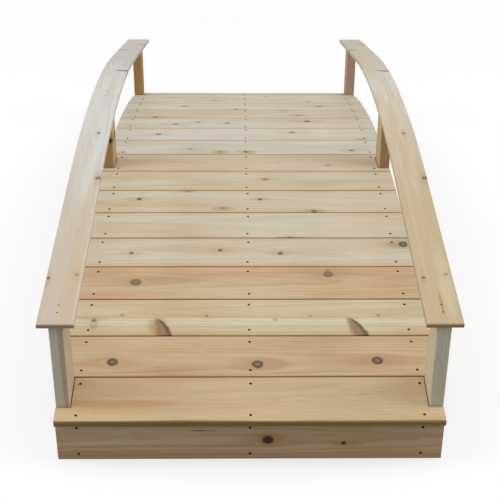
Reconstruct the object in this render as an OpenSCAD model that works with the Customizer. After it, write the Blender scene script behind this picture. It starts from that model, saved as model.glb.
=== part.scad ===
// Arched garden footbridge of plain cedar boards, with a low bowed hand rail on each side.
// It lies along Y, is centred on the origin and stands on Z = 0.

/* [Arch] */
// Radius of the walking surface, which the rails repeat higher up
arch_r = 4250; // [3600:10:5200]
// Height of the end boards' outer top edge above the ground
end_h = 124; // [105:1:170]

/* [Deck boards] */
// Length of a board, across the bridge
board_len = 936; // [760:1:1200]
// Width of a board, along the bridge
board_w = 139; // [125:0.5:150]
// Thickness of a board
board_t = 19; // [16:0.5:26]
// Gap between neighbouring boards, at their undersides
board_gap = 1.7; // [1:0.1:6]
// Radius of a board's eased long edges
board_ease = 2.5; // [1:0.5:5]
// Radius of the end boards' outer edges, which are trodden on first
nose_ease = 4; // [2:0.5:9]

/* [Stringers] */
// Thickness of the three arched stringers
stringer_t = 38; // [28:1:50]
// Depth of a stringer, measured square to its curve
stringer_d = 140; // [110:1:165]

/* [Posts] */
// Thickness of a post, across the bridge
post_t = 34.5; // [24:0.5:45]
// Width of a post, along the bridge
post_d = 89; // [64:1:100]
// Distance from a board's end to a post's outer face
post_inset = 0.5; // [0.5:0.5:12]
// Clearance between a post and the notch that it stands in
notch_gap = 2.4; // [0.5:0.1:4]
// Height of a middle post's lower end above the stringer's lower edge
post_tail = 12; // [0:1:40]
// Radius of a post's eased upright edges
post_ease = 3; // [1:0.5:8]

/* [Rails] */
// Height of the rail's top above the walking surface, at the crest and at its ends
rail_h = 241; // [190:1:330]
// Radius of a rail's bowed middle, from which it runs on straight to its ends
rail_bend_r = 3100; // [2600:10:3600]
// Width of a rail
rail_w = 87; // [70:1:140]
// Thickness of a rail
rail_t = 14; // [10.5:0.5:24]
// Distance that a rail's middle lies inwards of its posts' middle
rail_shift = 1; // [0:0.5:10]
// Length of rail that runs on past the end posts
rail_overhang = 10; // [0:1:60]
// Radius of a rail's eased long edges
rail_ease = 2; // [1:0.5:4.5]
// Radius of the eased edges across a rail's ends
rail_end_ease = 5; // [1:0.5:5]

/* [Fascias] */
// Thickness of the boards that close the two ends
fascia_t = 19; // [16:0.5:28]
// Distance from the deck's end edge back to a fascia's face
fascia_setback = 18; // [4:1:24]

/* [Hidden] */

// Facets round a full circle for the long arcs, and along one eased corner
arc_facets = 1440;
ease_facets = 4;

// The boards lie square to the arch, at equal steps round it, with one at the crest
board_count = 17;
middle_board = (board_count - 1) / 2;
board_step = 2 * atan((board_w + board_gap) / 2 / (arch_r - board_t));
end_turn = middle_board * board_step;

// Height of the arch's centre, below ground, that puts the end boards at their height
arch_z = end_h - arch_r * cos(end_turn) + board_w / 2 * sin(end_turn);
crest_z = arch_z + arch_r;
deck_end_y = arch_r * sin(end_turn) + board_w / 2 * cos(end_turn);

// Fascias hang from the end boards and close the stringers' ends
fascia_out_y = deck_end_y - fascia_setback;
fascia_in_y = fascia_out_y - fascia_t;

// Posts stand against the outer faces of the side stringers
post_x = board_len / 2 - post_inset - post_t / 2;
stringer_x = post_x - post_t / 2 - stringer_t / 2;
stringer_r = arch_r - board_t;
arch_clear_z = arch_z + stringer_r - stringer_d;

// An end post's inner face lines up with the inner top edge of its board
end_post_y = arch_r * sin(end_turn) - board_w / 2 * cos(end_turn) + post_d / 2;

// A rail is a strip bent over the middle post and pulled down to the end posts.
// Its straight parts touch the bend's circle and end as high above the arch as its crest.
rail_end_y = end_post_y + post_d / 2 + rail_overhang;
rail_end_z = arch_z + sqrt(pow(arch_r, 2) - pow(rail_end_y, 2)) + rail_h;
rail_bend_z = crest_z + rail_h - rail_bend_r;
rail_reach = norm([rail_end_y, rail_end_z - rail_bend_z]);
rail_turn = atan2(rail_end_y, rail_end_z - rail_bend_z) - acos(rail_bend_r / rail_reach);
rail_straight = sqrt(pow(rail_reach, 2) - pow(rail_bend_r, 2));
rail_under_r = rail_bend_r - rail_t;

// Angle of board i from the crest, below zero towards the front
function board_turn(i) = (i - middle_board) * board_step;

// Height of an end board's underside at distance y from the middle of the bridge
function end_board_under(y) = arch_z + stringer_r / cos(end_turn) - y * tan(end_turn);

// Height of a rail's underside at distance y from the middle of the bridge
function rail_under(y) = rail_bend_z + (abs(y) < rail_under_r * sin(rail_turn)
    ? sqrt(pow(rail_under_r, 2) - pow(y, 2))
    : (rail_under_r - abs(y) * sin(rail_turn)) / cos(rail_turn));

// Outline of a w by h rectangle, centred, with the two corners at each end rounded to that end's radius
function eased_outline(w, h, low_r, high_r) = [
    for (corner = [[1, 1, 0], [-1, 1, 90], [-1, -1, 180], [1, -1, 270]])
    for (facet = [0 : ease_facets])
    let (r = corner[0] < 0 ? low_r : high_r, turn = corner[2] + 90 * facet / ease_facets)
    [corner[0] * (w / 2 - r) + r * cos(turn), corner[1] * (h / 2 - r) + r * sin(turn)]
];

// Turns an outline drawn as Y and Z into a solid of width w across the bridge
module across(w) {
    rotate([90, 0, 90])
        linear_extrude(height = w, center = true)
            children();
}

// What a board loses to the two posts of a row: -1 front, 0 middle, 1 rear.
// The notches open at the board's ends and, on an end board, along its inner edge too.
module post_notches(row) {
    reach = post_d / 2 + notch_gap;
    inner_reach = row == 0 ? reach : board_w;
    notch_x = post_x - post_t / 2 - notch_gap;
    for (side = [-1, 1])
        translate([side * (notch_x + board_len / 2), row * (end_post_y + (reach - inner_reach) / 2), 0])
            cube([board_len, reach + inner_reach, 3 * crest_z], center = true);
}

module plank(i) {
    front_ease = i == 0 ? nose_ease : board_ease;
    rear_ease = i == board_count - 1 ? nose_ease : board_ease;
    translate([0, 0, arch_z])
        rotate([-board_turn(i), 0, 0])
            translate([0, 0, arch_r - board_t / 2])
                across(board_len)
                    polygon(eased_outline(board_w, board_t, front_ease, rear_ease));
}

module deck_board(i) {
    row = (i - middle_board) / middle_board;
    color("burlywood")
        if (row == round(row))
            difference() {
                plank(i);
                post_notches(row);
            }
        else
            plank(i);
}

module stringer(side) {
    color("tan")
        translate([side * stringer_x, 0, 0])
            across(stringer_t)
                difference() {
                    intersection() {
                        translate([0, arch_z])
                            circle(r = stringer_r, $fn = arc_facets);
                        translate([-fascia_in_y, 0])
                            square([2 * fascia_in_y, crest_z]);
                    }
                    translate([0, arch_z])
                        circle(r = stringer_r - stringer_d, $fn = arc_facets);
                }
}

module post(side, row) {
    front = row * end_post_y - post_d / 2;
    rear = front + post_d;
    foot = row == 0 ? arch_clear_z + post_tail : 0;
    color("peru")
        intersection() {
            translate([side * post_x, 0, 0])
                across(post_t)
                    polygon([[front, foot], [rear, foot], [rear, rail_under(rear)], [front, rail_under(front)]]);
            translate([side * post_x, row * end_post_y, 0])
                linear_extrude(height = crest_z + rail_h)
                    polygon(eased_outline(post_t, post_d, post_ease, post_ease));
        }
}

module rail_section() {
    translate([rail_bend_r - rail_t / 2, 0])
        polygon(eased_outline(rail_t, rail_w, rail_ease, rail_ease));
}

// The front half of a rail, about the axis that it is bent round: straight from its end, then bowed to the crest
module half_rail() {
    intersection() {
        rotate([0, 0, -rail_turn]) {
            intersection() {
                rotate([90, 0, 0])
                    linear_extrude(height = rail_straight)
                        rail_section();
                translate([rail_bend_r - rail_t / 2, 0, 0])
                    linear_extrude(height = 2 * rail_w, center = true)
                        polygon(eased_outline(rail_t, 2 * rail_straight, rail_end_ease, rail_end_ease));
            }
            rotate_extrude(angle = rail_turn + 1, $fn = arc_facets)
                rail_section();
        }
        translate([0, -2 * rail_end_y, -rail_w])
            cube([2 * rail_bend_r, 2 * rail_end_y, 2 * rail_w]);
    }
}

module rail(side) {
    color("wheat")
        translate([side * (post_x - rail_shift), 0, rail_bend_z])
            rotate([0, -90, 0]) {
                half_rail();
                mirror([0, 1, 0])
                    half_rail();
            }
}

module fascia(end) {
    color("sienna")
        across(board_len)
            polygon([
                [end * fascia_out_y, 0],
                [end * fascia_in_y, 0],
                [end * fascia_in_y, end_board_under(fascia_in_y)],
                [end * fascia_out_y, end_board_under(fascia_out_y)]
            ]);
}

for (i = [0 : board_count - 1])
    deck_board(i);
stringer(-1);  // left_stringer
stringer(0);  // centre_stringer
stringer(1);  // right_stringer
post(-1, -1);  // left_front_post
post(-1, 0);  // left_middle_post
post(-1, 1);  // left_rear_post
post(1, -1);  // right_front_post
post(1, 0);  // right_middle_post
post(1, 1);  // right_rear_post
rail(-1);  // left_rail
rail(1);  // right_rail
fascia(-1);  // front_fascia
fascia(1);  // rear_fascia
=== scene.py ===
import math
import random

import bpy
from mathutils import Matrix, Vector


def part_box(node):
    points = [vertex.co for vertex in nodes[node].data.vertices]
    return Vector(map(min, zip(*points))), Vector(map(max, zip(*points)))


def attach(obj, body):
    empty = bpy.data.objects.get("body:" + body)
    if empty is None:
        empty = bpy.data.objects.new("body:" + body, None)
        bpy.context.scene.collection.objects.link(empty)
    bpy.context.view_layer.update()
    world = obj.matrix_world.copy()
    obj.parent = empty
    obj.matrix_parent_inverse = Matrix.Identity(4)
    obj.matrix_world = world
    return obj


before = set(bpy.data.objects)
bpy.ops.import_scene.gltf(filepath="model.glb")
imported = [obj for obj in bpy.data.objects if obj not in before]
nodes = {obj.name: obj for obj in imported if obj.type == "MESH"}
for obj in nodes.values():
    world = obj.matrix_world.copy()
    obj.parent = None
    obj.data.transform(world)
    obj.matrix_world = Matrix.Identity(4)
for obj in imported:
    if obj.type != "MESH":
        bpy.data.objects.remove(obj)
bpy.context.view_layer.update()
scene = bpy.context.scene
scene.view_settings.view_transform = "Standard"
mm = 0.001


# An sRGB hex colour as linear shares
def linear(hexColour):
    shares = [int(hexColour[i:i + 2], 16) / 255 for i in (1, 3, 5)]
    return [s / 12.92 if s <= 0.04045 else ((s + 0.055) / 1.055) ** 2.4 for s in shares] + [1.0]


# Adds a node with its settings, and puts a value, a socket or a node's first output on each named input
def addNode(tree, kind, inputs=None, **settings):
    prefix = "" if kind.startswith(("Node", "Function", "Shader")) else tree.bl_idname[:-4]
    node = tree.nodes.new(prefix + kind)
    for name, value in settings.items():
        setattr(node, name, value)
    for name, value in (inputs or {}).items():
        if isinstance(value, bpy.types.Node):
            value = value.outputs[0]
        if isinstance(value, bpy.types.NodeSocket):
            tree.links.new(value, node.inputs[name])
        else:
            node.inputs[name].default_value = value
    return node


# A node group with named inputs and outputs, given as name: socket type
def newGroup(name, kind, inputs, outputs):
    tree = bpy.data.node_groups.new(name, kind)
    for inOut, sockets in (("INPUT", inputs), ("OUTPUT", outputs)):
        for socket, socketType in sockets.items():
            tree.interface.new_socket(socket, in_out=inOut, socket_type="NodeSocket" + socketType)
    return tree, addNode(tree, "NodeGroupInput").outputs


# What a knot does to the wood: how far it pushes the grain aside, and its shares of stain, bark and heart
marks = {"Shift": "Float", "Stain": "Float", "Bark": "Float", "Heart": "Float"}
noiseMiddle = 0.5  # a noise lies evenly about this value

# A round knot: a greyed heart in a dark bark line, with a stain along the grain. Reaches are in knot radii.
roundLooks = {
    "oval": (0.92, 1, 0), "ragged": 0.4, "raggedPerMm": 0.07,
    "bark": (1.2, 0.62), "heart": (0.75, 0.2), "stain": (2.3, 0.7), "stainOval": (0.3, 1, 0),
    "patchPerMm": 0.11, "patchNoise": (0.35, 0.65), "patch": (0.96, 1.0),
    "bendOval": (0.38, 1, 0), "bendSoft": 0.35, "bend": 0.95,
}
roundKnot, given = newGroup("roundKnot", "ShaderNodeTree", {
    "Local": "Vector", "Centre": "Vector", "Radius": "Float", "Dark": "Float", "Pale": "Float", **marks,
}, marks)
tree = roundKnot
away = addNode(tree, "VectorMath", {0: given["Local"], 1: given["Centre"]}, operation="SUBTRACT")
share = addNode(tree, "Math", {0: 1.0, 1: given["Radius"]}, operation="DIVIDE")
away = addNode(tree, "VectorMath", {0: away, "Scale": share}, operation="SCALE")
ragged = addNode(tree, "TexNoise", {
    "Vector": given["Local"], "Scale": roundLooks["raggedPerMm"], "Detail": 3})
ragged = addNode(tree, "Math", {0: ragged, 1: noiseMiddle}, operation="SUBTRACT")
patch = addNode(tree, "TexNoise", {
    "Vector": given["Local"], "Scale": roundLooks["patchPerMm"], "Detail": 1})
low, high = roundLooks["patchNoise"]
least, most = roundLooks["patch"]
patch = addNode(tree, "MapRange", {0: patch, 1: low, 2: high, 3: least, 4: most})
patchyDark = addNode(tree, "Math", {0: patch, 1: given["Dark"]}, operation="MULTIPLY")
found = {}
for mark, oval, strength in (("Stain", "stainOval", given["Dark"]), ("Bark", "oval", patchyDark),
                             ("Heart", "oval", given["Pale"])):
    flat = addNode(tree, "VectorMath", {0: away, 1: roundLooks[oval]}, operation="MULTIPLY")
    reach = addNode(tree, "VectorMath", {0: flat}, operation="LENGTH").outputs["Value"]
    reach = addNode(tree, "Math", {0: ragged, 1: roundLooks["ragged"], 2: reach}, operation="MULTIPLY_ADD")
    outer, inner = roundLooks[mark.lower()]
    inside = addNode(tree, "MapRange", {0: reach, 1: outer, 2: inner}, interpolation_type="SMOOTHSTEP")
    inside = addNode(tree, "Math", {0: inside, 1: strength}, operation="MULTIPLY")
    found[mark] = addNode(tree, "Math", {0: given[mark], 1: inside}, operation="MAXIMUM")
bent = addNode(tree, "VectorMath", {0: away, 1: roundLooks["bendOval"]}, operation="MULTIPLY")
square = addNode(tree, "VectorMath", {0: bent, 1: bent}, operation="DOT_PRODUCT").outputs["Value"]
square = addNode(tree, "Math", {0: square, 1: roundLooks["bendSoft"]}, operation="ADD")
push = addNode(tree, "SeparateXYZ", {0: away}).outputs["Y"]
push = addNode(tree, "Math", {0: push, 1: square}, operation="DIVIDE")
push = addNode(tree, "Math", {0: push, 1: given["Radius"]}, operation="MULTIPLY")
found["Shift"] = addNode(tree, "Math", {0: push, 1: roundLooks["bend"], 2: given["Shift"]},
                         operation="MULTIPLY_ADD")
addNode(tree, "NodeGroupOutput", found)

# A spike knot: a branch cut along its length, from its root on the board's edge to its tip. One side has a
# dark line of bark, and the other fades into the wood. Reaches are in half widths, ends in lengths.
spikeLooks = {
    "ragged": 0.6, "raggedPerMm": 0.09, "taper": 0.75, "tipMm": 3.0,
    "sharp": (1.35, 0.75), "soft": (-2.4, -0.8), "line": (-0.6, 0.7), "ends": (1.1, 0.8),
    "root": (0.25, 0.0), "heart": 0.1, "bark": 0.36, "lineShare": 0.78, "rootShare": 0.75,
}
spikeKnot, given = newGroup("spikeKnot", "ShaderNodeTree", {
    "Local": "Vector", "Root": "Vector", "Along": "Vector", "Side": "Vector", "Width": "Float",
    "Bow": "Float", **marks,
}, marks)
tree = spikeKnot
away = addNode(tree, "VectorMath", {0: given["Local"], 1: given["Root"]}, operation="SUBTRACT")
run = addNode(tree, "VectorMath", {0: away, 1: given["Along"]}, operation="DOT_PRODUCT").outputs["Value"]
aside = addNode(tree, "VectorMath", {0: away, 1: given["Side"]}, operation="DOT_PRODUCT").outputs["Value"]
rest = addNode(tree, "Math", {0: 1.0, 1: run}, operation="SUBTRACT", use_clamp=True)
hump = addNode(tree, "Math", {0: run, 1: rest}, operation="MULTIPLY")
hump = addNode(tree, "Math", {0: hump, 1: given["Bow"]}, operation="MULTIPLY")
aside = addNode(tree, "Math", {0: aside, 1: hump}, operation="SUBTRACT")
width = addNode(tree, "Math", {0: rest, 1: spikeLooks["taper"]}, operation="POWER")
width = addNode(tree, "Math", {0: width, 1: given["Width"], 2: spikeLooks["tipMm"]},
                operation="MULTIPLY_ADD")
reach = addNode(tree, "Math", {0: aside, 1: width}, operation="DIVIDE")
ragged = addNode(tree, "TexNoise", {
    "Vector": given["Local"], "Scale": spikeLooks["raggedPerMm"], "Detail": 3})
ragged = addNode(tree, "Math", {0: ragged, 1: noiseMiddle}, operation="SUBTRACT")
reach = addNode(tree, "Math", {0: ragged, 1: spikeLooks["ragged"], 2: reach}, operation="MULTIPLY_ADD")
inside = 1.0
for edge, distance in (("sharp", reach), ("soft", reach), ("ends", run)):
    outer, inner = spikeLooks[edge]
    part = addNode(tree, "MapRange", {0: distance, 1: outer, 2: inner}, interpolation_type="SMOOTHSTEP")
    inside = addNode(tree, "Math", {0: inside, 1: part}, operation="MULTIPLY")
outer, inner = spikeLooks["line"]
line = addNode(tree, "MapRange", {0: reach, 1: outer, 2: inner}, interpolation_type="SMOOTHSTEP")
line = addNode(tree, "Math", {0: line, 1: inside}, operation="MULTIPLY")
outer, inner = spikeLooks["root"]
root = addNode(tree, "MapRange", {0: run, 1: outer, 2: inner})
root = addNode(tree, "Math", {0: root, 1: inside}, operation="MULTIPLY")
found = {"Shift": given["Shift"]}
for mark, share, strength in (("Stain", inside, 1.0), ("Heart", inside, spikeLooks["heart"]),
                              ("Bark", inside, spikeLooks["bark"]), ("Bark", line, spikeLooks["lineShare"]),
                              ("Bark", root, spikeLooks["rootShare"])):
    share = addNode(tree, "Math", {0: share, 1: strength}, operation="MULTIPLY")
    before = found.get(mark, given[mark])
    found[mark] = addNode(tree, "Math", {0: before, 1: share}, operation="MAXIMUM")
addNode(tree, "NodeGroupOutput", found)

# A patch of another tone, long with the grain, with a ragged soft edge
patchLooks = {"wander": (0.004, 0.03, 0.03), "ragged": 1.2, "edge": (1.35, 0.45)}
tonedParts = {"Early": "Color", "Warm": "Color"}
tonePatch, given = newGroup("tonePatch", "ShaderNodeTree", {
    **tonedParts, "Local": "Vector", "Centre": "Vector", "Size": "Vector", "Tone": "Color",
    "Share": "Float",
}, tonedParts)
tree = tonePatch
away = addNode(tree, "VectorMath", {0: given["Local"], 1: given["Centre"]}, operation="SUBTRACT")
away = addNode(tree, "VectorMath", {0: away, 1: given["Size"]}, operation="DIVIDE")
away = addNode(tree, "VectorMath", {0: away, 1: (1, 1, 0)}, operation="MULTIPLY")
reach = addNode(tree, "VectorMath", {0: away}, operation="LENGTH").outputs["Value"]
wander = addNode(tree, "VectorMath", {0: given["Local"], 1: patchLooks["wander"]}, operation="MULTIPLY")
wander = addNode(tree, "TexNoise", {"Vector": wander, "Scale": 1.0, "Detail": 2})
wander = addNode(tree, "Math", {0: wander, 1: noiseMiddle}, operation="SUBTRACT")
reach = addNode(tree, "Math", {0: wander, 1: patchLooks["ragged"], 2: reach}, operation="MULTIPLY_ADD")
outer, inner = patchLooks["edge"]
inside = addNode(tree, "MapRange", {0: reach, 1: outer, 2: inner}, interpolation_type="SMOOTHSTEP")
inside = addNode(tree, "Math", {0: inside, 1: given["Share"]}, operation="MULTIPLY")
toned = {}
for part in tonedParts:
    mixed = addNode(tree, "Mix", {0: inside, 6: given[part], 7: given["Tone"]}, data_type="RGBA")
    toned[part] = mixed.outputs[2]
addNode(tree, "NodeGroupOutput", toned)
print("knots and patches ready")

# The grain of a cedar board: growth rings cut by its faces, slow drifts of colour, fibres and dark flecks.
# Noise scales are per millimetre along, across and through the board. Fibres are drawn about 2 mm wide,
# coarser than real ones, so that they show. A share is the span that it is taken from, then its least and
# its most.
grainLooks = {
    "wobble": (0.0016, 0.012, 0.012), "wobbleMm": 7, "spread": (0.012, 0.05, 0.05), "spreadMm": 1.5,
    "drift": (0.0022, 0.016, 0.016), "fibre": (0.012, 0.55, 0.55), "fleck": (0.02, 0.3, 0.3),
    "band": (0.0012, 0.05, 0.05), "lateRise": 2.2, "lateFall": 0.86,
    "lateShare": (0.3, 0.7, 0.15, 0.7), "warmShare": (0.42, 0.72, 0.0, 1.0),
    "fibreShare": (0.3, 0.7, 0.93, 1.07), "fleckShare": (0.66, 0.8, 0.0, 0.5),
    "endShare": (0.75, 0.95, 0.0, 0.6), "stainShare": 0.35,
    "fleckTone": "#8B6235", "stain": "#9C7849", "bark": "#2B1708", "heart": "#937B78", "endTone": "#7A5E3E",
    "roughness": (0.62, 0.5), "fibreHeight": 0.6,
}
cedarGrain, given = newGroup("cedarGrain", "ShaderNodeTree", {
    "Local": "Vector", "Along": "Vector", "Early": "Color", "Late": "Color", "Warm": "Color",
    "Spacing": "Float", "Pith": "Vector", "Seed": "Float", **marks,
}, {"Colour": "Color", "Roughness": "Float", "Height": "Float"})
tree = cedarGrain
parts = addNode(tree, "SeparateXYZ", {0: given["Local"]}).outputs
acrossGrain = addNode(tree, "Math", {0: parts["Y"], 1: given["Shift"]}, operation="SUBTRACT")
bentLocal = addNode(tree, "CombineXYZ", {0: parts["X"], 1: acrossGrain, 2: parts["Z"]})
noises = {}
for noise, detail in (("wobble", 1), ("spread", 1), ("drift", 2), ("fibre", 2), ("fleck", 1), ("band", 1)):
    placed = addNode(tree, "VectorMath", {0: bentLocal, 1: grainLooks[noise]}, operation="MULTIPLY")
    drawn = addNode(tree, "TexNoise", {
        "Vector": placed, "W": given["Seed"], "Scale": 1.0, "Detail": detail}, noise_dimensions="4D")
    noises[noise] = drawn.outputs["Fac"]
warps = {}
for noise in ("wobble", "spread"):
    most = grainLooks[noise + "Mm"]
    warps[noise] = addNode(tree, "MapRange", {0: noises[noise], 3: -most, 4: most})
pith = addNode(tree, "SeparateXYZ", {0: given["Pith"]}).outputs
ringAcross = addNode(tree, "Math", {0: acrossGrain, 1: pith["Y"]}, operation="SUBTRACT")
ringAcross = addNode(tree, "Math", {0: ringAcross, 1: warps["wobble"]}, operation="ADD")
ringDeep = addNode(tree, "Math", {0: parts["X"], 1: pith["X"], 2: parts["Z"]}, operation="MULTIPLY_ADD")
ringDeep = addNode(tree, "Math", {0: ringDeep, 1: pith["Z"]}, operation="ADD")
ringPlace = addNode(tree, "CombineXYZ", {0: ringAcross, 1: ringDeep})
ringReach = addNode(tree, "VectorMath", {0: ringPlace}, operation="LENGTH").outputs["Value"]
ringReach = addNode(tree, "Math", {0: ringReach, 1: warps["spread"]}, operation="ADD")
ring = addNode(tree, "Math", {0: ringReach, 1: given["Spacing"]}, operation="DIVIDE")
ring = addNode(tree, "Math", {0: ring}, operation="FRACT")
rise = addNode(tree, "Math", {0: ring, 1: grainLooks["lateRise"]}, operation="POWER")
fall = addNode(tree, "MapRange", {0: ring, 1: 1.0, 2: grainLooks["lateFall"]},
               interpolation_type="SMOOTHSTEP")
lateWood = addNode(tree, "Math", {0: rise, 1: fall}, operation="MULTIPLY")
normal = addNode(tree, "NewGeometry").outputs["Normal"]
facing = addNode(tree, "VectorMath", {0: normal, 1: given["Along"]}, operation="DOT_PRODUCT")
facing = addNode(tree, "Math", {0: facing.outputs["Value"]}, operation="ABSOLUTE")
shares = {}
for share, source in (("late", noises["band"]), ("warm", noises["drift"]), ("fibre", noises["fibre"]),
                      ("fleck", noises["fleck"]), ("end", facing)):
    low, high, least, most = grainLooks[share + "Share"]
    shares[share] = addNode(tree, "MapRange", {0: source, 1: low, 2: high, 3: least, 4: most})
shares["late"] = addNode(tree, "Math", {0: lateWood, 1: shares["late"]}, operation="MULTIPLY")
shares["stain"] = addNode(tree, "Math", {0: given["Stain"], 1: grainLooks["stainShare"]},
                          operation="MULTIPLY")
layers = [(shares["warm"], given["Warm"]), (shares["late"], given["Late"])]
for share, tone in ((shares["fleck"], "fleckTone"), (shares["stain"], "stain"), (given["Bark"], "bark"),
                    (given["Heart"], "heart"), (shares["end"], "endTone")):
    layers.append((share, linear(grainLooks[tone])))
colour = given["Early"]
for share, tone in layers:
    colour = addNode(tree, "Mix", {0: share, 6: colour, 7: tone}, data_type="RGBA").outputs[2]
colour = addNode(tree, "VectorMath", {0: colour, "Scale": shares["fibre"]}, operation="SCALE")
rough, smooth = grainLooks["roughness"]
roughness = addNode(tree, "MapRange", {0: shares["late"], 3: rough, 4: smooth})
height = addNode(tree, "Math", {0: noises["fibre"], 1: grainLooks["fibreHeight"], 2: shares["late"]},
                 operation="MULTIPLY_ADD")
addNode(tree, "NodeGroupOutput", {"Colour": colour, "Roughness": roughness, "Height": height})
print("grain ready")

# Tones of red cedar, planed and left bare: from honey and rose heartwood to pale sapwood and greyed pieces
# The pale and sand tones are partly painted sheen, for the far pieces seen at a grazing angle, and partly
# paler wood
tones = {
    "honey": {"Early": "#CDB48F", "Late": "#BC9C72", "Warm": "#C9A97C"},
    "rose": {"Early": "#CCB391", "Late": "#AA8763", "Warm": "#C19E77"},
    "blush": {"Early": "#CDB795", "Late": "#AC8866", "Warm": "#C3A07A"},
    "cream": {"Early": "#CCBFA0", "Late": "#B59B74", "Warm": "#C7AD81"},
    "straw": {"Early": "#CCC3AC", "Late": "#B7A284", "Warm": "#C6B08E"},
    "wheat": {"Early": "#CFC0A6", "Late": "#B8A080", "Warm": "#C9B08E"},
    "pale": {"Early": "#D0CBBD", "Late": "#BBAE96", "Warm": "#C8BA9D"},
    "sand": {"Early": "#CFC9B6", "Late": "#BAAB90", "Warm": "#C7B89B"},
    "silver": {"Early": "#CDCDC8", "Late": "#BBB4AA", "Warm": "#C8C1B8"},
    "tan": {"Early": "#B8966B", "Late": "#8F6A43", "Warm": "#AA8053"},
    "russet": {"Early": "#AC8452", "Late": "#825B31", "Warm": "#A06F3A"},
    "fawn": {"Early": "#B79D80", "Late": "#917457", "Warm": "#A98A6B"},
    "olive": {"Early": "#CBB692", "Late": "#9A7C54", "Warm": "#BA9A6E"},
    "sage": {"Early": "#CECBB4", "Late": "#B1A992", "Warm": "#C5BC9B"},
}
patchTones = {
    "orange": "#BD9366", "amber": "#C9A878", "biscuit": "#BFA782", "apricot": "#D0AE86", "white": "#DCD5BE",
    "brown": "#8A6A46", "umber": "#705221", "nosingShade": "#7F6030", "rust": "#A8743F", "mauve": "#C09478",
    "clay": "#B39580", "ivory": "#CBBD9A", "stone": "#ADA798",
}

# Bare planed cedar is dull, and its fibres stand up a little
surfaceLooks = {"ior": 1.53, "specular": 0.2, "bumpMm": 0.3, "bumpStrength": 0.6}


# The cedar of one piece. place works out its own axes, in millimetres along, across and through the grain.
def cedar(name, piece, along, place):
    material = bpy.data.materials.new(name)
    material.use_nodes = True
    tree = material.node_tree
    local = place(tree, addNode(tree, "TexCoord").outputs["Object"])
    carried = {}
    for u, v, radius, dark, pale in piece.get("knots", ()):
        knot = addNode(tree, "Group", {
            "Local": local, "Centre": (u, v, 0), "Radius": radius, "Dark": dark, "Pale": pale, **carried,
        }, node_tree=roundKnot)
        carried = {mark: knot.outputs[mark] for mark in marks}
    for root, tip, width, bow in piece.get("spikes", ()):
        axis = Vector(tip) - Vector(root)
        side = Vector((axis.y, -axis.x)).normalized()
        knot = addNode(tree, "Group", {
            "Local": local, "Root": (*root, 0), "Along": (*axis / axis.length_squared, 0),
            "Side": (*side, 0), "Width": width, "Bow": bow, **carried,
        }, node_tree=spikeKnot)
        carried = {mark: knot.outputs[mark] for mark in marks}
    tone = {part: linear(value) for part, value in tones[piece["tone"]].items()}
    for u, v, length, width, patchTone, share in piece.get("patches", ()):
        toned = addNode(tree, "Group", {
            "Early": tone["Early"], "Warm": tone["Warm"], "Local": local, "Centre": (u, v, 0),
            "Size": (length, width, 1), "Tone": linear(patchTones[patchTone]), "Share": share,
        }, node_tree=tonePatch)
        tone.update({part: toned.outputs[part] for part in tonedParts})
    grain = addNode(tree, "Group", {
        "Local": local, "Along": along, "Spacing": piece["spacing"], "Pith": piece["pith"],
        "Seed": piece["seed"], **tone, **carried,
    }, node_tree=cedarGrain).outputs
    bump = addNode(tree, "Bump", {
        "Height": grain["Height"], "Distance": surfaceLooks["bumpMm"] * mm,
        "Strength": surfaceLooks["bumpStrength"]})
    shader = tree.nodes["Principled BSDF"].inputs
    shader["IOR"].default_value = surfaceLooks["ior"]
    shader["Specular IOR Level"].default_value = surfaceLooks["specular"]
    for socket, source in (("Base Color", grain["Colour"]), ("Roughness", grain["Roughness"]),
                           ("Normal", bump.outputs["Normal"])):
        tree.links.new(source, shader[socket])
    return material


def dress(node, material):
    nodes[node].data.materials.clear()
    nodes[node].data.materials.append(material)


# A straight piece's own axes: along the grain, across it and through it, from its middle
def straightPlace(centre, axes):
    turn = Matrix(axes).transposed().to_euler()

    def place(tree, where):
        return addNode(tree, "Mapping", {
            "Vector": where, "Location": centre, "Rotation": turn, "Scale": (mm, mm, mm),
        }, vector_type="TEXTURE").outputs["Vector"]
    return place


# A bowed piece follows a circle about its axis, up to a turn past which it runs straight, and so do its own
# axes. A piece on edge has its wide faces upright.
def bowedPlace(axis, radius, most, onEdge):
    def place(tree, where):
        arm = addNode(tree, "VectorMath", {0: where, 1: axis}, operation="SUBTRACT")
        parts = addNode(tree, "SeparateXYZ", {0: arm}).outputs
        turn = addNode(tree, "Math", {0: parts["Y"], 1: parts["Z"]}, operation="ARCTAN2")
        turn = addNode(tree, "Clamp", {"Value": turn, "Min": -most, "Max": most})
        arm = addNode(tree, "VectorRotate", {"Vector": arm, "Angle": turn}, rotation_type="X_AXIS")
        parts = addNode(tree, "SeparateXYZ", {0: arm}).outputs
        along = addNode(tree, "Math", {0: turn, 1: radius, 2: parts["Y"]}, operation="MULTIPLY_ADD")
        through = addNode(tree, "Math", {0: parts["Z"], 1: radius}, operation="SUBTRACT")
        wide, thin = (through, parts["X"]) if onEdge else (parts["X"], through)
        local = addNode(tree, "CombineXYZ", {0: along, 1: wide, 2: thin})
        return addNode(tree, "VectorMath", {0: local, "Scale": 1 / mm}, operation="SCALE").outputs["Vector"]
    return place


# Faces that count as a piece's top: how far they point up and aside, and an area that leaves out eased ends
topFaces = {"leastUp": 0.5, "mostAside": 0.01, "leastArea": 300 * mm * mm}

# Half sizes, in mm, of a patch that runs past both ends of a piece or past both its sides
endToEnd = 2000
sideToSide = 300

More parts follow.
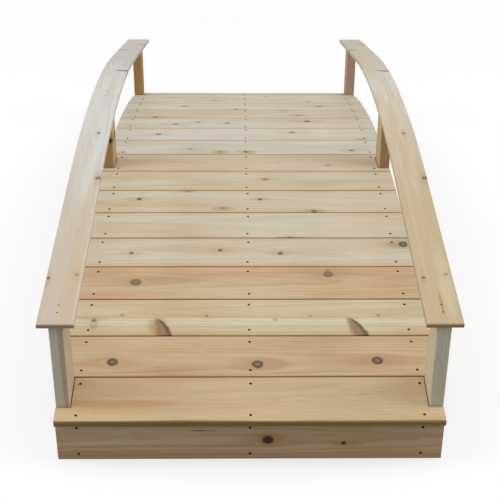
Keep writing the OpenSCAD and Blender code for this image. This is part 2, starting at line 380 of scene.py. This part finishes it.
# Deck boards. A pith is (its slope along the board, its place across, its depth), a knot (along, across,
# radius, dark, pale), a spike (root, tip, half width, bow) and a patch (along, across, half length,
# half width, tone, share). Places are in mm from the middle of the board.
deckBoards = {
    "deck_board_01": {
        "tone": "honey", "spacing": 6.0, "pith": (0.010, 40, 90), "seed": 1.0,
        # The dark strip along the first board's front edge is painted shade on the nosing's front face
        "patches": [(-320, -14, 150, 12, "orange", 0.65), (0, -70, endToEnd, 5.4, "nosingShade", 0.95)]},
    "deck_board_02": {
        "tone": "rose", "spacing": 6.5, "pith": (0.012, -25, 60), "seed": 2.0,
        "knots": [(-344, -21, 14, 0.88, 0.7), (20, -29, 14.5, 0.9, 0.85), (322, -17, 14, 0.88, 0.75)],
        "patches": [(300, -20, 170, 30, "orange", 0.36)]},
    "deck_board_03": {
        "tone": "cream", "spacing": 5.5, "pith": (-0.01, 20, 75), "seed": 3.0,
        "knots": [(-112, 4, 5, 0.4, 0.2), (-333, 8, 6, 0.3, 0.1), (162, 3, 5, 0.3, 0.1),
                  (69, -11, 7, 0.25, 0.1), (341, 6, 5, 0.4, 0.2), (-406, -12, 7, 0.5, 0.0)],
        "spikes": [((-216, -70), (-243, -6), 13, 20), ((292, -70), (259, -2), 13, 20)],
        "patches": [(-405, -25, 11, 20, "rust", 0.7), (0, -18, endToEnd, 16, "white", 0.5),
                    (0, -66, endToEnd, 13, "amber", 0.58), (-238, -36, 24, 32, "rust", 0.5),
                    (274, -34, 20, 32, "rust", 0.45), (0, -1, endToEnd, 1.6, "brown", 0.32),
                    (0, -35, endToEnd, 1.6, "brown", 0.25)]},
    "deck_board_04": {
        "tone": "blush", "spacing": 6.0, "pith": (0.014, 10, 70), "seed": 4.0,
        "knots": [(-309, 2, 16, 0.65, 0.45), (221, 36, 14, 0.6, 0.4), (221, 54, 5, 0.4, 0.0)],
        "patches": [(-330, -46, 130, 14, "mauve", 0.43)]},
    "deck_board_05": {
        "tone": "straw", "spacing": 6.0, "pith": (0.010, -15, 65), "seed": 5.0,
        "knots": [(-331, -5, 7, 0.64, 0.0), (92, -7, 8, 0.7, 0.0), (-79, 9, 7, 0.7, 0.0),
                  (447, 33, 12, 0.82, 0.5), (447, 41, 12, 0.82, 0.5)],
        "patches": [(0, -64, endToEnd, 12, "amber", 0.43), (0, 64, endToEnd, 8, "amber", 0.43),
                    (430, 37, 28, 10, "rust", 0.29)]},
    "deck_board_06": {
        "tone": "straw", "spacing": 6.5, "pith": (-0.012, 30, 80), "seed": 6.0,
        "knots": [(124, -70, 6, 0.45, 0.0)],
        "patches": [(-350, 5, 200, 14, "amber", 0.43), (160, 5, 190, 50, "white", 0.3),
                    (119, -70, 48, 5, "umber", 0.85)]},
    "deck_board_07": {
        "tone": "straw", "spacing": 6.0, "pith": (0.010, 0, 60), "seed": 7.0,
        "knots": [(-332, 14, 8, 0.75, 0.0), (-73, -44, 7, 0.35, 0.0), (40, 13, 7, 0.78, 0.0),
                  (202, -63, 9, 0.55, 0.0), (-184, 65, 7, 0.3, 0.0)],
        "patches": [(0, -64, endToEnd, 10, "amber", 0.43), (-73, -47, 30, 14, "rust", 0.4),
                    (202, -62, 26, 13, "rust", 0.5), (-184, 66, 24, 9, "rust", 0.4)]},
    "deck_board_08": {
        "tone": "straw", "spacing": 6.0, "pith": (0.012, -30, 70), "seed": 8.0,
        "knots": [(59, 9, 9, 0.45, 0.0)],
        "patches": [(59, 9, 24, 13, "rust", 0.25), (0, 60, endToEnd, 14, "amber", 0.25),
                    (0, -62, endToEnd, 10, "amber", 0.3)]},
    "deck_board_09": {
        "tone": "wheat", "spacing": 6.0, "pith": (-0.01, 15, 70), "seed": 9.0,
        "knots": [(102, 3, 9, 0.15, 0.0), (269, -23, 9, 0.32, 0.0)]},
    # The far boards' paler tones are partly painted sheen, the paling seen at a grazing angle, and partly
    # paler wood
    "deck_board_10": {
        "tone": "pale", "spacing": 6.5, "pith": (0.010, 25, 75), "seed": 10.0,
        "knots": [(-191, -20, 10, 0.32, 0.1), (-88, -46, 7, 0.4, 0.1), (-3, -42, 7, 0.5, 0.1),
                  (358, -31, 10, 0.59, 0.2)],
        "patches": [(-88, -50, 22, 20, "rust", 0.4), (4, -50, 32, 20, "rust", 0.45),
                    (-423, -55, 20, 14, "mauve", 0.5)]},
    "deck_board_11": {
        "tone": "pale", "spacing": 6.0, "pith": (0.012, -20, 65), "seed": 11.0,
        "knots": [(-311, -1, 11, 0.59, 0.2), (166, 21, 11, 0.59, 0.2)],
        "patches": [(401, -55, 24, 10, "rust", 0.45)]},
    "deck_board_12": {
        "tone": "sand", "spacing": 6.0, "pith": (-0.012, 10, 70), "seed": 12.0,
        "knots": [(-258, -15, 11, 0.59, 0.2), (-174, 13, 10, 0.51, 0.2), (-67, -2, 10, 0.59, 0.2),
                  (229, 26, 12, 0.68, 0.2)]},
    "deck_board_13": {
        "tone": "straw", "spacing": 6.0, "pith": (0.010, 20, 60), "seed": 13.0,
        "knots": [(-339, -54, 12, 0.59, 0.2), (200, -21, 8, 0.5, 0.2), (147, 62, 8, 0.4, 0.2)],
        "patches": [(200, -21, 45, 16, "rust", 0.35), (-339, -50, 26, 12, "rust", 0.35),
                    (147, 60, 30, 12, "rust", 0.3)]},
    "deck_board_14": {
        "tone": "sand", "spacing": 6.0, "pith": (0.014, -10, 75), "seed": 14.0,
        "knots": [(-236, 11, 13, 0.59, 0.2), (-35, -54, 11, 0.59, 0.2), (293, 10, 13, 0.59, 0.2)]},
    "deck_board_15": {
        "tone": "sand", "spacing": 6.0, "pith": (-0.01, 15, 70), "seed": 15.0,
        "knots": [(-120, 10, 10, 0.59, 0.2), (260, -20, 11, 0.59, 0.2)]},
    "deck_board_16": {
        "tone": "sand", "spacing": 6.0, "pith": (0.010, 5, 80), "seed": 16.0,
        "knots": [(-300, -15, 10, 0.59, 0.2), (90, 20, 9, 0.59, 0.2)]},
    "deck_board_17": {
        "tone": "straw", "spacing": 6.0, "pith": (0.012, -30, 70), "seed": 17.0,
        "knots": [(210, 10, 9, 0.59, 0.2), (160, -46, 10, 0.51, 0.2)]},
}

# A joint darkens the edges of both its boards: partly darker sawn edges, partly painted shade of the gap
# between them. The first board's front edge is a free nosing.
edgeStainsAndShade = [(0, -70.5, endToEnd, 3.6, "rust", 0.7), (0, 70.5, endToEnd, 3.2, "rust", 0.55)]
boardFrames = {}
for node, board in deckBoards.items():
    jointStainsAndShade = edgeStainsAndShade[1:] if node == "deck_board_01" else edgeStainsAndShade
    board["patches"] = board.get("patches", []) + jointStainsAndShade
    low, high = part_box(node)
    tops = [face for face in nodes[node].data.polygons if face.normal.z > topFaces["leastUp"]]
    top = max(tops, key=lambda face: face.area)
    normal = top.normal.copy()
    along = Vector((1, 0, 0))
    across = normal.cross(along)
    centre = (low + high) / 2
    boardFrames[node] = (centre + normal * (top.center - centre).dot(normal), across, normal)
    material = cedar("cedarDeck" + node[-2:], board, along, straightPlace(centre, (along, across, normal)))
    dress(node, material)
print("deck boards ready")

# Fascias and posts: the same cedar, cut from other boards. A post's grain runs up it, a fascia's across.
straightPieces = {
    "front_fascia": {
        "tone": "olive", "spacing": 6.0, "pith": (0.008, 10, 70), "seed": 21.0,
        "knots": [(43, 0, 14, 1.0, 0.0), (227, -10, 6, 0.9, 0.0)],
        "patches": [(0, -46, endToEnd, 12, "orange", 0.58), (46, 0, 30, 24, "rust", 0.6),
                    # The umber strip along the top edge, at 53 across, is painted shade under the first
                    # board's nosing
                    (240, -13, 45, 11, "rust", 0.29), (0, 53, endToEnd, 8, "umber", 0.58),
                    (-170, -19, 330, 6, "brown", 0.25), (60, 14, 220, 4, "brown", 0.22),
                    (-122, 28, 26, 2.4, "umber", 0.75), (-90, 27, 14, 2, "umber", 0.5),
                    (40, 31, 20, 2, "umber", 0.29), (320, -30, 130, 16, "rust", 0.25)]},
    "rear_fascia": {
        "tone": "olive", "spacing": 6.0, "pith": (0.008, -10, 70), "seed": 22.0,
        "knots": [(-160, 5, 10, 0.9, 0.1), (280, -8, 7, 0.8, 0.1)]},
    # The apricot strip on a front post's inner face is painted light: that face is lit more than the front
    "left_front_post": {
        "tone": "sage", "spacing": 5.0, "pith": (0.01, 10, 60), "seed": 31.0,
        "patches": [(0, 11, endToEnd, 8, "clay", 0.72), (0, 20, endToEnd, 4, "apricot", 0.65)]},
    "right_front_post": {
        "tone": "sage", "spacing": 5.0, "pith": (0.01, -10, 60), "seed": 32.0,
        "patches": [(0, -20, endToEnd, 4, "apricot", 0.29)]},
    # The ivory strip on a middle post's inner face is painted light: that face is lit more than the front
    "left_middle_post": {
        "tone": "tan", "spacing": 5.0, "pith": (-0.01, 15, 55), "seed": 33.0,
        "knots": [(55, 10, 9, 0.9, 0.0)],
        "patches": [(0, 18, endToEnd, 3.5, "ivory", 0.45)]},
    "right_middle_post": {
        "tone": "tan", "spacing": 5.0, "pith": (0.01, -15, 55), "seed": 34.0,
        "patches": [(0, 0, endToEnd, sideToSide, "brown", 0.22), (0, -18, endToEnd, 3.5, "ivory", 0.6),
                    (0, 16, endToEnd, 7, "brown", 0.6)]},
    "left_rear_post": {"tone": "russet", "spacing": 5.0, "pith": (0.01, 5, 60), "seed": 35.0},
    "right_rear_post": {"tone": "fawn", "spacing": 5.0, "pith": (-0.01, -5, 60), "seed": 36.0},
}
uprightAxes = [Vector((0, 0, 1)), Vector((1, 0, 0)), Vector((0, 1, 0))]
levelAxes = [Vector((1, 0, 0)), Vector((0, 0, 1)), Vector((0, -1, 0))]
for node, piece in straightPieces.items():
    low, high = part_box(node)
    upright = node.endswith("post")
    axes = uprightAxes if upright else levelAxes
    place = straightPlace((low + high) / 2, axes)
    material = cedar("cedar" + node.title().replace("_", ""), piece, axes[0], place)
    dress(node, material)
print("posts and fascias ready")

# Rails and stringers. Both rails were sawn from one board, so they share their knots.
railKnots = [(-981, 29, 6, 0.3, 0.2), (-563, 37, 8, 0.65, 0.25), (-312, 11, 6, 0.6, 0.2)]
railSpikes = [((262, 58), (270, 0), 8, 5), ((764, -58), (773, -4), 8, 5), ((963, 58), (970, 4), 8, 5)]
# On both rails the warm biscuit near part and the grey stone far end are painted sheen: the wood pales at a
# grazing angle
bowedPieces = {
    "left_rail": {
        "tone": "silver", "spacing": 5.5, "pith": (0.006, 12, 70), "seed": 41.0,
        "knots": [(-994, -38, 5, 0.7, 0.2), *railKnots], "spikes": railSpikes,
        "patches": [(-1320, 0, 800, sideToSide, "biscuit", 0.62), (-1010, 22, 230, 19, "amber", 0.36),
                    (-600, 43, 900, 5, "white", 0.43), (800, 0, 640, sideToSide, "stone", 0.43)]},
    "right_rail": {
        "tone": "pale", "spacing": 5.5, "pith": (0.006, 12, 70), "seed": 42.0,
        "knots": [(-994, -28, 5, 0.65, 0.2), *railKnots], "spikes": railSpikes,
        "patches": [(-1180, 0, 1000, sideToSide, "biscuit", 0.9), (-1010, 22, 192, 23, "brown", 0.22),
                    (-1010, 22, 180, 20, "ivory", 0.8), (-640, -20, 450, 4, "ivory", 0.36),
                    (-1092, 1, 42, 4, "rust", 0.7), (800, 0, 640, sideToSide, "stone", 0.56)]},
    "left_stringer": {
        "tone": "wheat", "spacing": 6.0, "pith": (0.008, -50, 70), "seed": 51.0,
        "knots": [(-540, -52, 13, 0.75, 0.4), (330, -88, 10, 0.7, 0.3), (760, -45, 12, 0.75, 0.4)],
        "patches": [(200, -100, 500, 18, "amber", 0.4)]},
    "centre_stringer": {
        "tone": "wheat", "spacing": 6.0, "pith": (0.008, -80, 70), "seed": 52.0,
        "knots": [(-280, -70, 12, 0.75, 0.4), (610, -95, 10, 0.7, 0.3)]},
    "right_stringer": {
        "tone": "wheat", "spacing": 6.0, "pith": (-0.008, -60, 70), "seed": 53.0,
        "knots": [(-700, -84, 12, 0.75, 0.4), (-150, -48, 11, 0.7, 0.3), (480, -92, 13, 0.75, 0.4)],
        "patches": [(-300, -40, 450, 16, "amber", 0.4)]},
}
bends = {}
for node, piece in bowedPieces.items():
    low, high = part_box(node)
    tops = [face for face in nodes[node].data.polygons
            if face.normal.z > topFaces["leastUp"] and abs(face.normal.x) < topFaces["mostAside"]
            and face.area > topFaces["leastArea"]]
    steepest = max(tops, key=lambda face: face.normal.y)
    most = math.atan2(steepest.normal.y, steepest.normal.z)
    fallen = high.z - steepest.center.z
    radius = (steepest.center.y * math.sin(most) - fallen * math.cos(most)) / (1 - math.cos(most))
    axis = Vector(((low.x + high.x) / 2, 0, high.z - radius))
    bends[node] = (axis, radius, most)
    onEdge = node.endswith("stringer")
    place = bowedPlace(axis, radius, most, onEdge)
    material = cedar("cedar" + node.title().replace("_", ""), piece, Vector((0, 1, 0)), place)
    dress(node, material)
print("rails and stringers ready")

# Screws: two through each board into each stringer, and more through the rails, the fascias and the posts
screwLooks = {
    "head": 7.6 * mm, "depth": 2.6 * mm, "proud": 0.7 * mm, "recess": 0.45 * mm, "railSize": 0.55,
    "sides": 12, "rings": 2, "topShare": 0.86, "tipShare": 0.5, "recessShare": 0.55, "recessPull": 0.38,
    "jitter": 2 * mm, "seed": 5,
    "boardX": 417 * mm, "boardAcross": 48.5 * mm, "fasciaZ": (16 * mm, 94 * mm),
    "railApart": {"front": 26 * mm, "middle": 48 * mm, "rear": 26 * mm},
    "postZ": {"front": (40 * mm, 92 * mm), "middle": (175 * mm, 235 * mm), "rear": (40 * mm, 92 * mm)},
    "postStagger": 18 * mm,
}
random.seed(screwLooks["seed"])
screwPlaces = []
screwColumns = (-screwLooks["boardX"], 0, screwLooks["boardX"])
for middle, across, normal in boardFrames.values():
    for x in screwColumns:
        for y in (-screwLooks["boardAcross"], screwLooks["boardAcross"]):
            jitter = random.uniform(-screwLooks["jitter"], screwLooks["jitter"])
            screwPlaces.append((middle + Vector((x + jitter, 0, 0)) + across * y, normal, 1.0))
for node, out in (("front_fascia", -1), ("rear_fascia", 1)):
    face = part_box(node)[0 if out < 0 else 1].y
    for x in screwColumns:
        for z in screwLooks["fasciaZ"]:
            screwPlaces.append((Vector((x, face, z)), Vector((0, out, 0)), 1.0))
for side, out in (("left", -1), ("right", 1)):
    axis, radius, most = bends[side + "_rail"]
    for row in ("front", "middle", "rear"):
        low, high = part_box(side + "_" + row + "_post")
        postY = (low.y + high.y) / 2
        for step in (-0.5, 0.5):
            y = postY + step * screwLooks["railApart"][row]
            turn = max(-most, min(most, math.asin(y / radius)))
            normal = Vector((0, math.sin(turn), math.cos(turn)))
            beyond = (y - radius * normal.y) / normal.z
            z = axis.z + radius * normal.z - beyond * normal.y
            screwPlaces.append((Vector((axis.x, y, z)), normal, screwLooks["railSize"]))
            postZ = screwLooks["postZ"][row][0 if step < 0 else 1]
            postFace = high.x if out > 0 else low.x
            place = Vector((postFace, postY + 2 * step * screwLooks["postStagger"], postZ))
            screwPlaces.append((place, Vector((out, 0, 0)), 1.0))
pointMesh = bpy.data.meshes.new("screwPoints")
pointMesh.from_pydata([place for place, facing, size in screwPlaces], [], [])
for name, kind in (("facing", "FLOAT_VECTOR"), ("headSize", "FLOAT")):
    pointMesh.attributes.new(name, kind, "POINT")
for index, (place, facing, size) in enumerate(screwPlaces):
    pointMesh.attributes["facing"].data[index].vector = facing
    pointMesh.attributes["headSize"].data[index].value = size
screws = bpy.data.objects.new("screws", pointMesh)
scene.collection.objects.link(screws)

# Steel with a dark brown coating, so the heads show as dull dark dots
steelLooks = {"coat": "#55340F", "rubbed": "#6E4820", "rubbedPerMm": 0.6, "rubbedNoise": (0.45, 0.7),
              "roughness": 0.9, "specular": 0.05}
coatedSteel = bpy.data.materials.new("coatedSteel")
coatedSteel.use_nodes = True
tree = coatedSteel.node_tree
where = addNode(tree, "TexCoord").outputs["Object"]
rubbed = addNode(tree, "TexNoise", {"Vector": where, "Scale": steelLooks["rubbedPerMm"] / mm, "Detail": 2})
low, high = steelLooks["rubbedNoise"]
rubbed = addNode(tree, "MapRange", {0: rubbed, 1: low, 2: high})
coat = addNode(tree, "Mix", {0: rubbed, 6: linear(steelLooks["coat"]), 7: linear(steelLooks["rubbed"])},
               data_type="RGBA")
shader = tree.nodes["Principled BSDF"].inputs
shader["Roughness"].default_value = steelLooks["roughness"]
shader["Specular IOR Level"].default_value = steelLooks["specular"]
tree.links.new(coat.outputs[2], shader["Base Color"])

# A countersunk head with a six-pointed recess, set on each point
screwTree, given = newGroup("screwHeads", "GeometryNodeTree", {
    "Points": "Geometry", "Radius": "Float", "Depth": "Float", "Lift": "Vector", "Recess": "Float",
    "Finish": "Material",
}, {"Geometry": "Geometry"})
tree = screwTree
head = addNode(tree, "MeshCylinder", {
    "Vertices": screwLooks["sides"], "Side Segments": screwLooks["rings"], "Radius": given["Radius"],
    "Depth": given["Depth"]}, fill_type="NGON").outputs
body = head["Mesh"]
for end, share in (("Top", screwLooks["topShare"]), ("Bottom", screwLooks["tipShare"])):
    body = addNode(tree, "ScaleElements", {"Geometry": body, "Selection": head[end], "Scale": share})
mouth = addNode(tree, "ExtrudeMesh", {
    "Mesh": body, "Selection": head["Top"], "Offset Scale": 0.0, "Individual": False}, mode="FACES").outputs
body = addNode(tree, "ScaleElements", {
    "Geometry": mouth["Mesh"], "Selection": mouth["Top"], "Scale": screwLooks["recessShare"]})
odd = addNode(tree, "ShaderNodeMath", {0: addNode(tree, "InputIndex"), 1: 2.0}, operation="MODULO")
inner = addNode(tree, "FunctionNodeBooleanMath", {0: mouth["Top"], 1: odd}, operation="AND")
pull = -screwLooks["recessPull"]
pulled = addNode(tree, "ShaderNodeVectorMath", {0: addNode(tree, "InputPosition"), 1: (pull, pull, 0)},
                 operation="MULTIPLY")
body = addNode(tree, "SetPosition", {"Geometry": body, "Selection": inner, "Offset": pulled})
body = addNode(tree, "ExtrudeMesh", {
    "Mesh": body, "Selection": mouth["Top"], "Offset Scale": given["Recess"], "Individual": False,
}, mode="FACES")
body = addNode(tree, "Transform", {"Geometry": body, "Translation": given["Lift"]})
facing = addNode(tree, "InputNamedAttribute", {"Name": "facing"}, data_type="FLOAT_VECTOR")
turn = addNode(tree, "FunctionNodeAlignRotationToVector", {"Vector": facing}, axis="Z")
headSize = addNode(tree, "InputNamedAttribute", {"Name": "headSize"}, data_type="FLOAT")
heads = addNode(tree, "InstanceOnPoints", {
    "Points": given["Points"], "Instance": body, "Rotation": turn, "Scale": headSize})
heads = addNode(tree, "RealizeInstances", {"Geometry": heads})
heads = addNode(tree, "SetMaterial", {"Geometry": heads, "Material": given["Finish"]})
addNode(tree, "NodeGroupOutput", {"Geometry": heads})
heads = screws.modifiers.new("heads", "NODES")
heads.node_group = screwTree
sizes = {"Radius": screwLooks["head"] / 2, "Depth": screwLooks["depth"], "Recess": -screwLooks["recess"],
         "Lift": (0, 0, screwLooks["proud"] - screwLooks["depth"] / 2), "Finish": coatedSteel}
for socket in screwTree.interface.items_tree:
    if socket.in_out == "INPUT" and socket.name in sizes:
        heads[socket.identifier] = sizes[socket.name]
screwMesh = bpy.data.meshes.new_from_object(screws.evaluated_get(bpy.context.evaluated_depsgraph_get()))
screws.modifiers.clear()
screws.data = screwMesh
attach(screws, "root")
print("screws ready:", len(screwPlaces))


# How far a ray is one that shows what it meets: from the camera, or by reflection or through glass
def seenShare(tree):
    path = addNode(tree, "LightPath").outputs
    seen = addNode(tree, "Math", {0: path["Is Camera Ray"], 1: path["Is Glossy Ray"]}, operation="MAXIMUM")
    return addNode(tree, "Math", {0: seen, 1: path["Is Transmission Ray"]}, operation="MAXIMUM")


# A pale floor that fills the view. It shows nearly white with a soft shadow, and lights the bridge less
# than it shows. Past near, in metres, its glow rises until it is all glow at far.
floorLooks = {"half": 40.0, "drop": 0.5 * mm, "glow": 0.6, "near": 1.5, "far": 4.5, "bounced": 0.3}
half = floorLooks["half"]
floorMesh = bpy.data.meshes.new("floor")
corners = ((-half, -half), (half, -half), (half, half), (-half, half))
floorMesh.from_pydata([(x, y, -floorLooks["drop"]) for x, y in corners], [], [(0, 1, 2, 3)])
floor = bpy.data.objects.new("floor", floorMesh)
scene.collection.objects.link(floor)
paleFloor = bpy.data.materials.new("paleFloor")
paleFloor.use_nodes = True
tree = paleFloor.node_tree
seen = seenShare(tree)
tone = addNode(tree, "MapRange", {0: seen, 3: floorLooks["bounced"], 4: 1.0})
paint = addNode(tree, "BsdfDiffuse", {"Color": tone})
glow = addNode(tree, "Emission", {"Strength": 1.0})
where = addNode(tree, "TexCoord").outputs["Object"]
away = addNode(tree, "VectorMath", {0: where}, operation="LENGTH").outputs["Value"]
glowShare = addNode(tree, "MapRange", {
    0: away, 1: floorLooks["near"], 2: floorLooks["far"], 3: floorLooks["glow"],
}, interpolation_type="SMOOTHSTEP")
glowShare = addNode(tree, "Math", {0: seen, 1: glowShare}, operation="MULTIPLY")
paint = addNode(tree, "MixShader", {0: glowShare, 1: paint, 2: glow})
tree.links.new(paint.outputs[0], tree.nodes["Material Output"].inputs["Surface"])
floorMesh.materials.append(paleFloor)

# Soft light like an overcast sky: a dome that brightens towards the top, and a wide lamp on each side
lightLooks = {"horizon": 0.05, "zenith": 1.05, "white": 1.0}
world = bpy.data.worlds.new("studio")
scene.world = world
world.use_nodes = True
tree = world.node_tree
way = addNode(tree, "SeparateXYZ", {0: addNode(tree, "TexCoord").outputs["Generated"]}).outputs["Z"]
dome = addNode(tree, "MapRange", {0: way, 3: lightLooks["horizon"], 4: lightLooks["zenith"]})
level = addNode(tree, "Mix", {0: seenShare(tree), 2: dome, 3: lightLooks["white"]})
tree.links.new(level.outputs[0], tree.nodes["Background"].inputs["Strength"])
tree.nodes["Background"].inputs["Color"].default_value = (1, 1, 1, 1)
lamps = {
    "leftSide": {"at": (-4.5, -0.9, 2.9), "aim": (0, 0, 0.3), "size": 3.0, "watts": 110},
    "rightSide": {"at": (4.5, -0.9, 2.9), "aim": (0, 0, 0.3), "size": 3.0, "watts": 110},
}
for name, looks in lamps.items():
    lamp = bpy.data.lights.new(name, "AREA")
    lamp.shape = "DISK"
    lamp.size = looks["size"]
    lamp.energy = looks["watts"]
    holder = bpy.data.objects.new(name, lamp)
    holder.location = looks["at"]
    holder.rotation_euler = (Vector(looks["aim"]) - holder.location).to_track_quat("-Z", "Y").to_euler()
    scene.collection.objects.link(holder)
print("stage ready")

# The camera looks down along the bridge from its front end
cameraLooks = {"at": (-0.0303, -3.1830, 1.6332), "tilt": 62.345, "turn": -0.785, "roll": 0.311,
               "lens": 74.85, "sensor": 36}
camera = bpy.data.objects.new("camera", bpy.data.cameras.new("camera"))
camera.data.lens = cameraLooks["lens"]
camera.data.sensor_width = cameraLooks["sensor"]
camera.matrix_world = Matrix.Translation(cameraLooks["at"])
for angle, axis in (("turn", "Z"), ("tilt", "X"), ("roll", "Z")):
    camera.matrix_world = camera.matrix_world @ Matrix.Rotation(math.radians(cameraLooks[angle]), 4, axis)
scene.collection.objects.link(camera)
scene.camera = camera
